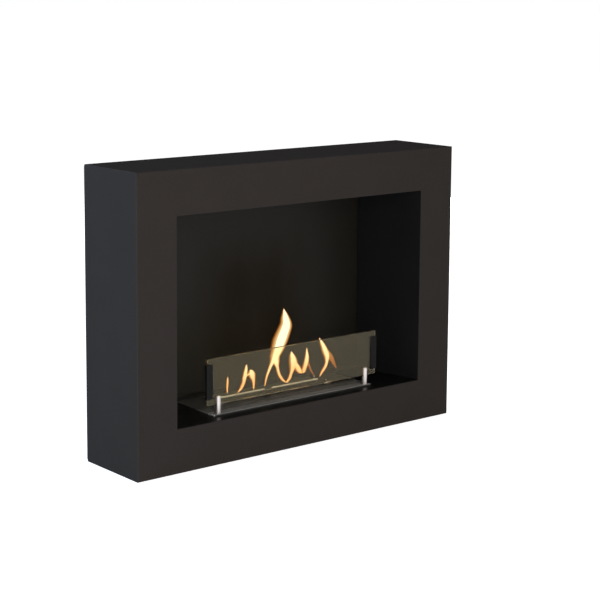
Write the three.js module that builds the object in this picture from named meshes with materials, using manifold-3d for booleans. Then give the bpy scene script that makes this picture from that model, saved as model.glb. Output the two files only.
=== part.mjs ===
// Bioethanol fireplace in a folded steel casing, with a tapered firebox, a lift-out burner, a
// sliding snuffer lid and a smoked glass screen that stands in two slotted posts.
// Millimetres, +Z up. The origin is the middle of the base and the front faces -Y.

import * as THREE from 'three';
import * as BufferGeometryUtils from 'three/addons/utils/BufferGeometryUtils.js';
import Module from 'manifold-3d';

const wasm = await Module();
wasm.setup();

// Driving dimensions ---------------------------------------------------------------------------

// Casing
const casingWidth = 900;
const casingHeight = 650;
const casingDepth = 200;
const borderSide = 100;
const borderTop = 97.5;
const borderBottom = 97.5;
const sheet = 1.5;
const bendRadius = 1.5;
const rearFlange = 22;
const panelInset = 1.5;
const panelCornerRadius = 4;
const panelScrewInset = 12;
const panelScrewEndMargin = 60;

// Clearances
const seatGap = 0.3;
const holeGap = 0.35;

// Keyholes for hanging
const keyholeInset = 50;
const keyholeDrop = 70;
const keyholeEntryRadius = 7;
const keyholeSlotRadius = 3.5;
const keyholeTravel = 18;

// Firebox
const wallSetback = 2;
const wallTaper = 32;
const rearAirGap = 7;
const fireboxFlange = 17;
const floorUpstand = 12;
const studRadius = 2;
const studLength = 10;
const studInset = 150;
const studEndMargin = 55;
const nutAcrossCorners = 8.1;
const nutHeight = 3.2;

// Fastener heads
const sunkHeadRadius = 3.5;
const sunkShankRadius = 1.9;
const sunkScrewLength = 9;
const panHeadRadius = 3.6;
const panHeadHeight = 2.2;
const panHeadTopRadius = 2.9;
const panShankRadius = 2;
const panScrewLength = 11;

// Burner plate, slot and tank
const plateThickness = 3.7;
const plateSideGap = 121;
const plateFrontSetback = 32;
const plateRearGap = 4.2;
const plateCornerRadius = 3;
const plateEdgeBevel = 0.6;
const slotEndMargin = 84;
const slotRearMargin = 51;
const slotWidth = 20;
const slotCornerRadius = 3;
const collarWall = 1.2;
const collarDepth = 6;
const tankDepth = 57;
const tankEndMargin = 5;
const tankSideMargin = 20;
const tankCornerRadius = 8;
const tankFlange = 12;
const tankStudRadius = 1.5;
const tankStudLength = 6;
const tankNutAcrossCorners = 6.4;
const tankNutHeight = 2.4;
const cutoutGap = 3;

// Ceramic stones
const stoneCount = 3;
const stoneHeight = 40;
const stoneGap = 1;
const stoneBevel = 2;
const stoneGrooveRadius = 6;
const wickHoleRadius = 3;
const wickHoleDepth = 18;
const wickHolesPerStone = 5;

// Snuffer lid and its guides
const lidSheet = 1.5;
const lidOverlap = 7.5;
const lidParkGap = 1;
const lidLipHeight = 5.2;
const lidNotchWidth = 22;
const lidRunGap = 0.4;
const guideFootWidth = 13;
const guideTongue = 3;
const guideTongueThickness = 1.3;
const guideOverrun = 1.5;
const rivetRadius = 1.4;
const rivetHeadRadius = 2.6;
const rivetHeadHeight = 1.1;
const rivetEndMargin = 11;

// Glass screen, posts and edge guards
const postRadius = 6.25;
const postHeight = 40;
const postInset = 15;
const postSetback = 7;
const postSlotDepth = 20;
const postChamfer = 0.6;
const postBoreDepth = 12;
const padThickness = 1.2;
const postScrewLength = 11;
const glassThickness = 5;
const glassHeight = 103;
const glassOverhang = 31;
const glassCornerRadius = 3;
const glassBevel = 0.6;
const guardFace = 14.5;
const guardBeyond = 1.5;
const guardWall = 1.2;
const guardMargin = 13;

// Facets
const bendSteps = 3;
const roundSteps = 32;
const boltSteps = 16;
const cornerSteps = 4;
const domeSteps = 3;
const nutSides = 6;

// Derived places -------------------------------------------------------------------------------

const outerBend = bendRadius + sheet;
const centreBend = bendRadius + sheet / 2;
const frontFace = -casingDepth / 2;
const frontInner = frontFace + sheet;
const panelFront = casingDepth / 2 - sheet;
const shellRear = panelFront - seatGap;
const openingHalf = casingWidth / 2 - borderSide;
const openingLow = borderBottom;
const openingHigh = casingHeight - borderTop;

const backRear = panelFront - rearAirGap;
const backFace = backRear - sheet;
const flangeFrontY = frontInner + seatGap + sheet / 2;
const flangeRearY = backFace - seatGap - sheet / 2;
const wallFrontX = openingHalf + wallSetback + sheet / 2;
const wallRearX = wallFrontX - wallTaper;
const upstandFace = flangeRearY - sheet / 2;

const plateTop = openingLow + seatGap + plateThickness;
const plateUnder = openingLow + seatGap;
const plateHalf = openingHalf - plateSideGap;
const plateFrontY = frontFace + plateFrontSetback;
const plateRearY = upstandFace - plateRearGap;
const slotHalf = plateHalf - slotEndMargin;
const slotRearY = plateRearY - slotRearMargin;
const slotFrontY = slotRearY - slotWidth;
const slotMiddleY = (slotFrontY + slotRearY) / 2;
const tankTop = plateUnder - seatGap;
const tankFloor = tankTop - tankDepth;
const tankHalf = slotHalf + tankEndMargin;
const tankHalfDepth = slotWidth / 2 + tankSideMargin;
const tankStudX = tankHalf + tankFlange / 2;
const tankStudY = tankHalfDepth;

const lidHalf = slotHalf + lidOverlap;
const lidUnder = plateTop + lidRunGap;
const lidTop = lidUnder + lidSheet;
const lidFrontY = slotRearY + lidParkGap;
const lidDepth = slotWidth + 2 * lidOverlap;
const lidRearY = lidFrontY + lidDepth;
const lidTravel = lidParkGap + slotWidth + lidOverlap;
const guideInnerX = lidHalf + lidRunGap;
const guideOuterX = guideInnerX + guideFootWidth;
const guideTongueX = guideInnerX - guideTongue;
const guideTongueUnder = lidTop + lidRunGap;
const guideTop = guideTongueUnder + guideTongueThickness;
const guideFrontY = lidFrontY - lidTravel - guideOverrun;
const guideRearY = lidRearY + guideOverrun;
const rivetX = guideInnerX + guideFootWidth / 2;

const postX = plateHalf - postInset;
const postY = plateFrontY + postSetback;
const postLow = plateTop + seatGap;
const postHigh = plateTop + postHeight;
const postSlotFloor = postHigh - postSlotDepth;
const padLow = postSlotFloor + seatGap;
const glassLow = padLow + padThickness + seatGap;
const glassHalf = postX + glassOverhang;
const glassHigh = glassLow + glassHeight;

// Solids ---------------------------------------------------------------------------------------

function solidOf(geometry) {
  const bare = geometry.clone();
  bare.deleteAttribute('normal');
  bare.deleteAttribute('uv');
  const merged = BufferGeometryUtils.mergeVertices(bare, 1e-4);
  const corners = [];
  const index = merged.index.array;
  for (let i = 0; i < index.length; i += 3) {
    const [a, b, c] = [index[i], index[i + 1], index[i + 2]];
    if (a !== b && b !== c && c !== a) corners.push(a, b, c);
  }
  return new wasm.Manifold(new wasm.Mesh({
    numProp: 3,
    vertProperties: new Float32Array(merged.attributes.position.array),
    triVerts: new Uint32Array(corners),
  }));
}

function geometryOf(solid) {
  const mesh = solid.getMesh();
  const geometry = new THREE.BufferGeometry();
  geometry.setAttribute('position', new THREE.BufferAttribute(mesh.vertProperties, 3));
  geometry.setIndex(new THREE.BufferAttribute(mesh.triVerts, 1));
  return BufferGeometryUtils.toCreasedNormals(geometry, Math.PI / 6);
}

function join(first, ...others) {
  return others.reduce((whole, other) => whole.add(other), first);
}

function cut(solid, ...tools) {
  return tools.reduce((left, tool) => left.subtract(tool), solid);
}

function block(xLow, xHigh, yLow, yHigh, zLow, zHigh) {
  const geometry = new THREE.BoxGeometry(xHigh - xLow, yHigh - yLow, zHigh - zLow);
  geometry.translate((xLow + xHigh) / 2, (yLow + yHigh) / 2, (zLow + zHigh) / 2);
  return solidOf(geometry);
}

// A rod along Y. Two radii make a cone, and a few steps make a polygon.
function rodY(radiusLow, radiusHigh, yLow, yHigh, x, z, steps = boltSteps) {
  const geometry = new THREE.CylinderGeometry(radiusHigh, radiusLow, yHigh - yLow, steps);
  geometry.translate(x, (yLow + yHigh) / 2, z);
  return solidOf(geometry);
}

function rodZ(radiusLow, radiusHigh, zLow, zHigh, x, y, steps = boltSteps) {
  const geometry = new THREE.CylinderGeometry(radiusHigh, radiusLow, zHigh - zLow, steps);
  geometry.rotateX(Math.PI / 2);
  geometry.translate(x, y, (zLow + zHigh) / 2);
  return solidOf(geometry);
}

// A profile of [radius, height] pairs, from the bottom up, turned about an axis along Z.
function turned(profile, x, y, steps = boltSteps) {
  const points = profile.map(([radius, height]) => new THREE.Vector2(radius, height));
  const geometry = new THREE.LatheGeometry(points, steps);
  geometry.rotateX(Math.PI / 2);
  geometry.translate(x, y, 0);
  return solidOf(geometry);
}

// An outline in X and Y, raised along Z.
function slab(shape, zLow, zHigh, bevel = 0) {
  const geometry = new THREE.ExtrudeGeometry(shape, {
    depth: zHigh - zLow - 2 * bevel,
    bevelEnabled: bevel > 0,
    bevelThickness: bevel,
    bevelSize: bevel,
    bevelOffset: -bevel,
    bevelSegments: 1,
    curveSegments: cornerSteps,
  });
  geometry.translate(0, 0, zLow + bevel);
  return solidOf(geometry);
}

// An outline in Y and Z, drawn out along X.
function sectionX(shape, xLow, xHigh) {
  const geometry = new THREE.ExtrudeGeometry(shape, { depth: xHigh - xLow, bevelEnabled: false });
  const turn = new THREE.Matrix4().makeBasis(
    new THREE.Vector3(0, 1, 0),
    new THREE.Vector3(0, 0, 1),
    new THREE.Vector3(1, 0, 0),
  );
  geometry.applyMatrix4(turn);
  geometry.translate(xLow, 0, 0);
  return solidOf(geometry);
}

// An outline in X and Z, drawn out along Y, with rounded edges at both ends.
function sectionY(shape, yLow, yHigh, edgeRadius = 0) {
  const geometry = new THREE.ExtrudeGeometry(shape, {
    depth: yHigh - yLow - 2 * edgeRadius,
    bevelEnabled: edgeRadius > 0,
    bevelThickness: edgeRadius,
    bevelSize: edgeRadius,
    bevelOffset: -edgeRadius,
    bevelSegments: bendSteps,
    curveSegments: cornerSteps,
  });
  const turn = new THREE.Matrix4().makeBasis(
    new THREE.Vector3(1, 0, 0),
    new THREE.Vector3(0, 0, 1),
    new THREE.Vector3(0, -1, 0),
  );
  geometry.applyMatrix4(turn);
  geometry.translate(0, yHigh - edgeRadius, 0);
  return solidOf(geometry);
}

function polygon(points) {
  return new THREE.Shape(points.map(([x, y]) => new THREE.Vector2(x, y)));
}

function roundedRectangle(left, right, low, high, radius) {
  const shape = new THREE.Shape();
  const quarter = Math.PI / 2;
  shape.absarc(right - radius, low + radius, radius, -quarter, 0);
  shape.absarc(right - radius, high - radius, radius, 0, quarter);
  shape.absarc(left + radius, high - radius, radius, quarter, 2 * quarter);
  shape.absarc(left + radius, low + radius, radius, 2 * quarter, 3 * quarter);
  return shape;
}

// The section of a folded sheet: the middle line runs through the corners, each corner is a
// bend of the given radius, and half the thickness lies on either side.
function foldedSection(corners, thickness, radius) {
  const path = corners.map(([x, y]) => new THREE.Vector2(x, y));
  const left = [];
  const right = [];
  const place = (point, direction) => {
    const side = new THREE.Vector2(-direction.y, direction.x).multiplyScalar(thickness / 2);
    left.push(point.clone().add(side));
    right.unshift(point.clone().sub(side));
  };
  const heading = (from, to) => to.clone().sub(from).normalize();
  place(path[0], heading(path[0], path[1]));
  for (let i = 1; i < path.length - 1; i += 1) {
    const before = heading(path[i - 1], path[i]);
    const after = heading(path[i], path[i + 1]);
    const turn = Math.atan2(before.cross(after), before.dot(after));
    const reach = radius * Math.tan(Math.abs(turn) / 2);
    const start = path[i].clone().addScaledVector(before, -reach);
    const inward = new THREE.Vector2(-before.y, before.x).multiplyScalar(Math.sign(turn) * radius);
    const centre = start.clone().add(inward);
    for (let step = 0; step <= bendSteps; step += 1) {
      const angle = (turn * step) / bendSteps;
      const point = start.clone().rotateAround(centre, angle);
      place(point, before.clone().rotateAround(new THREE.Vector2(), angle));
    }
  }
  const last = path.length - 1;
  place(path[last], heading(path[last - 1], path[last]));
  return new THREE.Shape([...left, ...right]);
}

// Evenly spaced places between two ends, both ends included.
function spread(low, high, count) {
  return Array.from({ length: count }, (_, i) => low + ((high - low) * i) / (count - 1));
}

// Finishes -------------------------------------------------------------------------------------

const finishes = {
  casingBlack: { color: 0x332f2e, roughness: 0.62, metalness: 0.1 },
  fireboxBlack: { color: 0x1e1e1c, roughness: 0.4, metalness: 0.2 },
  rearBlack: { color: 0x262524, roughness: 0.65, metalness: 0.15 },
  burnerSteel: { color: 0x56544f, roughness: 0.38, metalness: 0.85 },
  brightSteel: { color: 0xc8c4be, roughness: 0.2, metalness: 1 },
  zincSteel: { color: 0x8f9091, roughness: 0.45, metalness: 0.9 },
  smokedGlass: { color: 0x4a4636, roughness: 0.05, metalness: 0, transparent: true, opacity: 0.55 },
  guardBlack: { color: 0x1a1a19, roughness: 0.55, metalness: 0 },
  ceramic: { color: 0xcfc9bb, roughness: 0.95, metalness: 0 },
  silicone: { color: 0x2b2b2b, roughness: 0.8, metalness: 0 },
};

const fireplace = new THREE.Group();

function addPart(name, solid, finish) {
  const mesh = new THREE.Mesh(geometryOf(solid), new THREE.MeshStandardMaterial(finishes[finish]));
  mesh.name = name;
  fireplace.add(mesh);
}

// Fastener places ------------------------------------------------------------------------------

const panelScrewX = casingWidth / 2 - panelScrewInset;
const panelScrewHigh = casingHeight - panelScrewInset;
const panelScrewPlaces = [
  ...spread(panelScrewEndMargin, casingHeight - panelScrewEndMargin, 3)
    .flatMap((z) => [[-panelScrewX, z], [panelScrewX, z]]),
  [0, panelScrewInset],
  [0, panelScrewHigh],
];

const wallFlangeMiddle = fireboxFlange / 2 + sheet / 2;
const wallHeights = spread(openingLow + studEndMargin, openingHigh - studEndMargin, 3);
const wallStudPlaces = wallHeights
  .flatMap((z) => [-1, 1].map((side) => [side * (wallFrontX + wallFlangeMiddle), z]));
const floorStudPlaces = [-1, 1]
  .map((side) => [side * (openingHalf - studInset), openingLow - wallFlangeMiddle]);
const ceilingStudPlaces = [-1, 1]
  .map((side) => [side * (openingHalf - studInset), openingHigh + wallFlangeMiddle]);
const studPlaces = [...wallStudPlaces, ...floorStudPlaces, ...ceilingStudPlaces];
const backScrewPlaces = wallHeights
  .flatMap((z) => [-1, 1].map((side) => [side * (wallRearX + wallFlangeMiddle), z]));
const tankStudPlaces = [-1, 1]
  .flatMap((side) => [-1, 1].map((end) => [side * tankStudX, slotMiddleY + end * tankStudY]));
const rivetRows = [guideFrontY + rivetEndMargin, guideRearY - rivetEndMargin];
const rivetPlaces = rivetRows.flatMap((y) => [-1, 1].map((side) => [side * rivetX, y]));

function throughY(places, radius, yLow, yHigh) {
  return places.map(([x, z]) => rodY(radius, radius, yLow, yHigh, x, z));
}

// Casing ---------------------------------------------------------------------------------------

// The casing is one folded shell: a block with rounded folds, less a smaller one inside it.
function casingBlock(offset) {
  const half = casingWidth / 2 - offset;
  const outline = polygon([
    [-half, offset],
    [half, offset],
    [half, casingHeight - offset],
    [-half, casingHeight - offset],
  ]);
  return sectionY(outline, frontFace + offset, shellRear - offset, outerBend - offset);
}

function makeCasing() {
  const window = block(
    -openingHalf, openingHalf,
    frontFace - sheet, frontInner + outerBend,
    openingLow, openingHigh,
  );
  const rearHalf = casingWidth / 2 - rearFlange;
  const rearWindow = block(
    -rearHalf, rearHalf,
    shellRear - outerBend, shellRear + sheet,
    rearFlange, casingHeight - rearFlange,
  );
  const shell = cut(casingBlock(0), casingBlock(sheet), window, rearWindow);
  const screwHoles = throughY(
    panelScrewPlaces, sunkShankRadius + holeGap, shellRear - 2 * sheet, shellRear + sheet,
  );
  const studs = throughY(studPlaces, studRadius, frontInner - sheet / 2, frontInner + studLength);
  return join(cut(shell, ...screwHoles), ...studs);
}

function keyhole(side) {
  const x = side * (casingWidth / 2 - keyholeInset);
  const high = casingHeight - keyholeDrop;
  const low = high - keyholeTravel;
  const yLow = panelFront - sheet;
  const yHigh = casingDepth / 2 + sheet;
  return join(
    rodY(keyholeEntryRadius, keyholeEntryRadius, yLow, yHigh, x, low),
    rodY(keyholeSlotRadius, keyholeSlotRadius, yLow, yHigh, x, high),
    block(x - keyholeSlotRadius, x + keyholeSlotRadius, yLow, yHigh, low, high),
  );
}

function makeRearPanel() {
  const outline = roundedRectangle(
    panelInset - casingWidth / 2, casingWidth / 2 - panelInset,
    panelInset, casingHeight - panelInset, panelCornerRadius,
  );
  const rear = casingDepth / 2;
  const sunkHoles = panelScrewPlaces.map(([x, z]) => rodY(
    sunkShankRadius + holeGap, sunkHeadRadius + 2 * holeGap,
    panelFront - seatGap, rear + seatGap, x, z,
  ));
  return cut(sectionY(outline, panelFront, rear), ...sunkHoles, keyhole(-1), keyhole(1));
}

// A countersunk screw that points along -Y, its head just under the face at yHead.
function sunkScrewY(x, z, yHead) {
  const neck = sunkHeadRadius - sunkShankRadius;
  return join(
    rodY(sunkShankRadius, sunkHeadRadius, yHead - neck, yHead, x, z),
    rodY(sunkShankRadius, sunkShankRadius, yHead - sunkScrewLength, yHead - neck / 2, x, z),
  );
}

addPart('outer_casing', makeCasing(), 'casingBlack');
addPart('rear_panel', makeRearPanel(), 'rearBlack');
panelScrewPlaces.forEach(([x, z], i) => {
  addPart(`rear_panel_screw_${i + 1}`, sunkScrewY(x, z, casingDepth / 2 - holeGap / 2), 'zincSteel');
});

// Firebox --------------------------------------------------------------------------------------

// Half-width of the firebox's middle line at a depth y.
function wallX(y) {
  return wallFrontX - (wallTaper * (y - flangeFrontY)) / (flangeRearY - flangeFrontY);
}

function makeSideWall(side) {
  const section = foldedSection([
    [side * (wallFrontX + fireboxFlange), flangeFrontY],
    [side * wallFrontX, flangeFrontY],
    [side * wallRearX, flangeRearY],
    [side * (wallRearX + fireboxFlange), flangeRearY],
  ], sheet, centreBend);
  const wall = slab(section, openingLow + seatGap, openingHigh - seatGap);
  const onSide = ([x]) => Math.sign(x) === side;
  const reach = sheet + holeGap;
  const studHoles = throughY(
    wallStudPlaces.filter(onSide), studRadius + holeGap, flangeFrontY - reach, flangeFrontY + reach,
  );
  const screwHoles = throughY(
    backScrewPlaces.filter(onSide), panShankRadius + holeGap, flangeRearY - reach, flangeRearY + reach,
  );
  return cut(wall, ...studHoles, ...screwHoles);
}

// Cuts a folded sheet to the firebox's tapered plan.
function trimToPlan(solid, zLow, zHigh) {
  const front = wallX(flangeFrontY) + fireboxFlange;
  const rear = wallX(flangeRearY) + fireboxFlange;
  const yFront = frontInner;
  const yRear = backFace;
  const plan = polygon([[-front, yFront], [front, yFront], [rear, yRear], [-rear, yRear]]);
  return solid.intersect(slab(plan, zLow, zHigh));
}

function makeFloor() {
  const middle = openingLow - sheet / 2;
  const flangeLow = openingLow - fireboxFlange;
  const upstandHigh = openingLow + floorUpstand;
  const half = wallFrontX + fireboxFlange;
  const section = foldedSection([
    [flangeFrontY, flangeLow],
    [flangeFrontY, middle],
    [flangeRearY, middle],
    [flangeRearY, upstandHigh],
  ], sheet, centreBend);
  const tray = trimToPlan(sectionX(section, -half, half), flangeLow - sheet, upstandHigh + sheet);
  const cutoutHalf = tankHalf + tankFlange + cutoutGap;
  const cutoutReach = tankHalfDepth + tankFlange + cutoutGap;
  const cutout = slab(
    roundedRectangle(
      -cutoutHalf, cutoutHalf, slotMiddleY - cutoutReach, slotMiddleY + cutoutReach, tankCornerRadius,
    ),
    openingLow - 2 * sheet, openingLow + sheet,
  );
  const upstandHalf = wallRearX - 2 * sheet;
  const ends = [-1, 1].map((side) => block(
    side > 0 ? upstandHalf : -half, side > 0 ? half : -upstandHalf,
    flangeRearY - outerBend, backFace + sheet,
    openingLow, upstandHigh + sheet,
  ));
  const holes = throughY(
    floorStudPlaces, studRadius + holeGap, flangeFrontY - 2 * sheet, flangeFrontY + 2 * sheet,
  );
  return cut(tray, cutout, ...ends, ...holes);
}

function makeCeiling() {
  const middle = openingHigh + sheet / 2;
  const flangeHigh = openingHigh + fireboxFlange;
  const half = wallFrontX + fireboxFlange;
  const section = foldedSection([
    [flangeFrontY, flangeHigh],
    [flangeFrontY, middle],
    [flangeRearY, middle],
    [flangeRearY, flangeHigh],
  ], sheet, centreBend);
  const lid = trimToPlan(sectionX(section, -half, half), openingHigh - sheet, flangeHigh + sheet);
  const holes = throughY(
    ceilingStudPlaces, studRadius + holeGap, flangeFrontY - 2 * sheet, flangeFrontY + 2 * sheet,
  );
  return cut(lid, ...holes);
}

function makeBack() {
  const half = wallRearX + fireboxFlange;
  const sheetBlock = block(
    -half, half, backFace, backRear, openingLow - fireboxFlange, openingHigh + fireboxFlange,
  );
  const holeRadius = panShankRadius + holeGap;
  return cut(sheetBlock, ...throughY(backScrewPlaces, holeRadius, backFace - sheet, backRear + sheet));
}

function makeStudNut(x, z) {
  const yLow = flangeFrontY + sheet / 2 + seatGap;
  const radius = nutAcrossCorners / 2;
  const bore = studRadius + holeGap;
  return cut(
    rodY(radius, radius, yLow, yLow + nutHeight, x, z, nutSides),
    rodY(bore, bore, yLow - sheet, yLow + nutHeight + sheet, x, z),
  );
}

function makeBackScrew(x, z) {
  const seat = backRear + seatGap;
  return join(
    rodY(panHeadRadius, panHeadTopRadius, seat, seat + panHeadHeight, x, z),
    rodY(panShankRadius, panShankRadius, seat - panScrewLength, seat + panHeadHeight / 2, x, z),
  );
}

addPart('firebox_floor', makeFloor(), 'fireboxBlack');
addPart('firebox_back', makeBack(), 'fireboxBlack');
addPart('firebox_side_left', makeSideWall(-1), 'fireboxBlack');
addPart('firebox_side_right', makeSideWall(1), 'fireboxBlack');
addPart('firebox_ceiling', makeCeiling(), 'fireboxBlack');
studPlaces.forEach(([x, z], i) => addPart(`firebox_nut_${i + 1}`, makeStudNut(x, z), 'zincSteel'));
backScrewPlaces.forEach(([x, z], i) => {
  addPart(`firebox_back_screw_${i + 1}`, makeBackScrew(x, z), 'zincSteel');
});

// Burner ---------------------------------------------------------------------------------------

function slotOutline(offset) {
  return roundedRectangle(
    -slotHalf - offset, slotHalf + offset,
    slotFrontY - offset, slotRearY + offset, slotCornerRadius + offset,
  );
}

function makeBurnerPlate() {
  const outline = roundedRectangle(-plateHalf, plateHalf, plateFrontY, plateRearY, plateCornerRadius);
  const plate = slab(outline, plateUnder, plateTop, plateEdgeBevel);
  const collar = slab(slotOutline(collarWall), plateUnder - collarDepth, plateTop - plateThickness / 2);
  const studs = tankStudPlaces.map(([x, y]) => rodZ(
    tankStudRadius, tankStudRadius, plateUnder - tankStudLength, plateTop - plateThickness / 2, x, y,
  ));
  const slot = slab(slotOutline(0), plateUnder - collarDepth - sheet, plateTop + sheet);
  const postHoles = [-postX, postX].map((x) => rodZ(
    sunkHeadRadius + 2 * holeGap, sunkShankRadius + holeGap,
    plateUnder - seatGap, plateTop + seatGap, x, postY,
  ));
  const rivetHoles = rivetPlaces.map(([x, y]) => rodZ(
    rivetRadius + holeGap, rivetRadius + holeGap, plateUnder - sheet, plateTop + sheet, x, y,
  ));
  return cut(join(plate, collar, ...studs), slot, ...postHoles, ...rivetHoles);
}

function tankOutline(offset) {
  return roundedRectangle(
    -tankHalf - offset, tankHalf + offset,
    slotMiddleY - tankHalfDepth - offset, slotMiddleY + tankHalfDepth + offset,
    tankCornerRadius + offset,
  );
}

function makeFuelTank() {
  const body = slab(tankOutline(0), tankFloor, tankTop, bendRadius);
  const flange = slab(tankOutline(tankFlange), tankTop - sheet, tankTop);
  const hollow = slab(tankOutline(-sheet), tankFloor + sheet, tankTop + sheet);
  const holes = tankStudPlaces.map(([x, y]) => rodZ(
    tankStudRadius + holeGap, tankStudRadius + holeGap, tankTop - 2 * sheet, tankTop + sheet, x, y,
  ));
  return cut(join(body, flange), hollow, ...holes);
}

function makeTankNut(x, y) {
  const high = tankTop - sheet - seatGap;
  const low = high - tankNutHeight;
  const radius = tankNutAcrossCorners / 2;
  const bore = tankStudRadius + holeGap;
  return cut(
    rodZ(radius, radius, low, high, x, y, nutSides),
    rodZ(bore, bore, low - sheet, high + sheet, x, y),
  );
}

// One block of the porous ceramic, with a groove along its top and a row of wick holes.
function makeStone(i) {
  const roomHalf = tankHalf - sheet - stoneGap;
  const length = (2 * roomHalf - (stoneCount - 1) * stoneGap) / stoneCount;
  const left = -roomHalf + i * (length + stoneGap);
  const halfDepth = tankHalfDepth - sheet - stoneGap;
  const low = tankFloor + sheet + seatGap;
  const high = low + stoneHeight;
  const outline = roundedRectangle(
    left, left + length, slotMiddleY - halfDepth, slotMiddleY + halfDepth, tankCornerRadius,
  );
  const grooveRod = new THREE.CylinderGeometry(
    stoneGrooveRadius, stoneGrooveRadius, 2 * length, boltSteps,
  );
  grooveRod.rotateZ(Math.PI / 2);
  grooveRod.translate(left + length / 2, slotMiddleY, high);
  const pitch = length / wickHolesPerStone;
  const holes = Array.from({ length: wickHolesPerStone }, (_, n) => rodZ(
    wickHoleRadius, wickHoleRadius, high - wickHoleDepth, high + stoneGrooveRadius,
    left + pitch / 2 + pitch * n, slotMiddleY,
  ));
  return cut(slab(outline, low, high, stoneBevel), solidOf(grooveRod), ...holes);
}

addPart('burner_plate', makeBurnerPlate(), 'burnerSteel');
addPart('fuel_tank', makeFuelTank(), 'burnerSteel');
tankStudPlaces.forEach(([x, y], i) => addPart(`tank_nut_${i + 1}`, makeTankNut(x, y), 'zincSteel'));
for (let i = 0; i < stoneCount; i += 1) addPart(`ceramic_stone_${i + 1}`, makeStone(i), 'ceramic');

// Snuffer lid ----------------------------------------------------------------------------------

function makeLid() {
  const middle = lidUnder + lidSheet / 2;
  const lipY = lidFrontY + lidSheet / 2;
  const lipHigh = lidUnder + lidLipHeight;
  const section = foldedSection([
    [lidRearY, middle],
    [lipY, middle],
    [lipY, lipHigh],
  ], lidSheet, lidSheet);
  const lipRear = lidFrontY + 2 * lidSheet;
  const notches = [
    [-lidHalf - lidRunGap, -guideTongueX + lidRunGap],
    [guideTongueX - lidRunGap, lidHalf + lidRunGap],
    [-lidNotchWidth / 2, lidNotchWidth / 2],
  ].map(([xLow, xHigh]) => block(
    xLow, xHigh, lidFrontY - lidSheet, lipRear + lidSheet, lidTop, lipHigh + lidSheet,
  ));
  return cut(sectionX(section, -lidHalf, lidHalf), ...notches);
}

function makeGuide(side) {
  const section = polygon([
    [side * guideInnerX, plateTop + seatGap],
    [side * guideOuterX, plateTop + seatGap],
    [side * guideOuterX, guideTop],
    [side * guideTongueX, guideTop],
    [side * guideTongueX, guideTongueUnder],
    [side * guideInnerX, guideTongueUnder],
  ]);
  const holes = rivetPlaces.map(([x, y]) => rodZ(
    rivetRadius + holeGap, rivetRadius + holeGap, plateTop, guideTop + sheet, x, y,
  ));
  return cut(sectionY(section, guideFrontY, guideRearY), ...holes);
}

function makeRivet(x, y) {
  const seat = guideTop + seatGap;
  const low = plateUnder + seatGap;
  const dome = spread(0, Math.PI / 2, domeSteps + 1).map((angle) => [
    rivetHeadRadius * Math.cos(angle),
    seat + rivetHeadHeight * Math.sin(angle),
  ]);
  dome[domeSteps][0] = 0;
  return turned([[0, low], [rivetRadius, low], [rivetRadius, seat], ...dome], x, y);
}

addPart('snuffer_lid', makeLid(), 'burnerSteel');
addPart('lid_guide_left', makeGuide(-1), 'burnerSteel');
addPart('lid_guide_right', makeGuide(1), 'burnerSteel');
rivetPlaces.forEach(([x, y], i) => addPart(`guide_rivet_${i + 1}`, makeRivet(x, y), 'brightSteel'));

// Glass screen ---------------------------------------------------------------------------------

function makePost(x) {
  const rod = turned([
    [0, postLow],
    [postRadius, postLow],
    [postRadius, postHigh - postChamfer],
    [postRadius - postChamfer, postHigh],
    [0, postHigh],
  ], x, postY, roundSteps);
  const slotHalfWidth = glassThickness / 2 + seatGap;
  const slot = block(
    x - 2 * postRadius, x + 2 * postRadius,
    postY - slotHalfWidth, postY + slotHalfWidth,
    postSlotFloor, postHigh + sheet,
  );
  const boreRadius = sunkShankRadius + holeGap;
  const bore = rodZ(boreRadius, boreRadius, postLow - sheet, postLow + postBoreDepth, x, postY);
  return cut(rod, slot, bore);
}

function makePostPad(x) {
  const rod = rodZ(postRadius, postRadius, padLow, padLow + padThickness, x, postY, roundSteps);
  return rod.intersect(block(
    x - 2 * postRadius, x + 2 * postRadius,
    postY - glassThickness / 2, postY + glassThickness / 2,
    padLow - sheet, padLow + padThickness + sheet,
  ));
}

function makePostScrew(x) {
  const low = plateUnder + holeGap / 2;
  const neck = sunkHeadRadius - sunkShankRadius;
  return turned([
    [0, low],
    [sunkHeadRadius, low],
    [sunkShankRadius, low + neck],
    [sunkShankRadius, low + postScrewLength],
    [0, low + postScrewLength],
  ], x, postY);
}

function makeGlass() {
  const outline = roundedRectangle(-glassHalf, glassHalf, glassLow, glassHigh, glassCornerRadius);
  const geometry = new THREE.ExtrudeGeometry(outline, {
    depth: glassThickness - 2 * glassBevel,
    bevelThickness: glassBevel,
    bevelSize: glassBevel,
    bevelOffset: -glassBevel,
    bevelSegments: 1,
    curveSegments: cornerSteps,
  });
  geometry.rotateX(Math.PI / 2);
  geometry.translate(0, postY + glassThickness / 2 - glassBevel, 0);
  return solidOf(geometry);
}

function makeGuard(side) {
  const middleY = glassThickness / 2 + seatGap + guardWall / 2;
  const inner = glassHalf - guardFace;
  const outer = glassHalf + guardBeyond - guardWall / 2;
  const section = foldedSection([
    [side * inner, postY - middleY],
    [side * outer, postY - middleY],
    [side * outer, postY + middleY],
    [side * inner, postY + middleY],
  ], guardWall, guardWall);
  return slab(section, glassLow + guardMargin, glassHigh - guardMargin);
}

addPart('glass_pane', makeGlass(), 'smokedGlass');
addPart('glass_guard_left', makeGuard(-1), 'guardBlack');
addPart('glass_guard_right', makeGuard(1), 'guardBlack');
[['left', -postX], ['right', postX]].forEach(([end, x]) => {
  addPart(`glass_post_${end}`, makePost(x), 'brightSteel');
  addPart(`post_pad_${end}`, makePostPad(x), 'silicone');
  addPart(`post_screw_${end}`, makePostScrew(x), 'zincSteel');
});

export default fireplace;
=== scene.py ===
"""Finishes, fasteners, edge guards and flames of a bioethanol fireplace, around its fixed frame."""

import math

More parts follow.
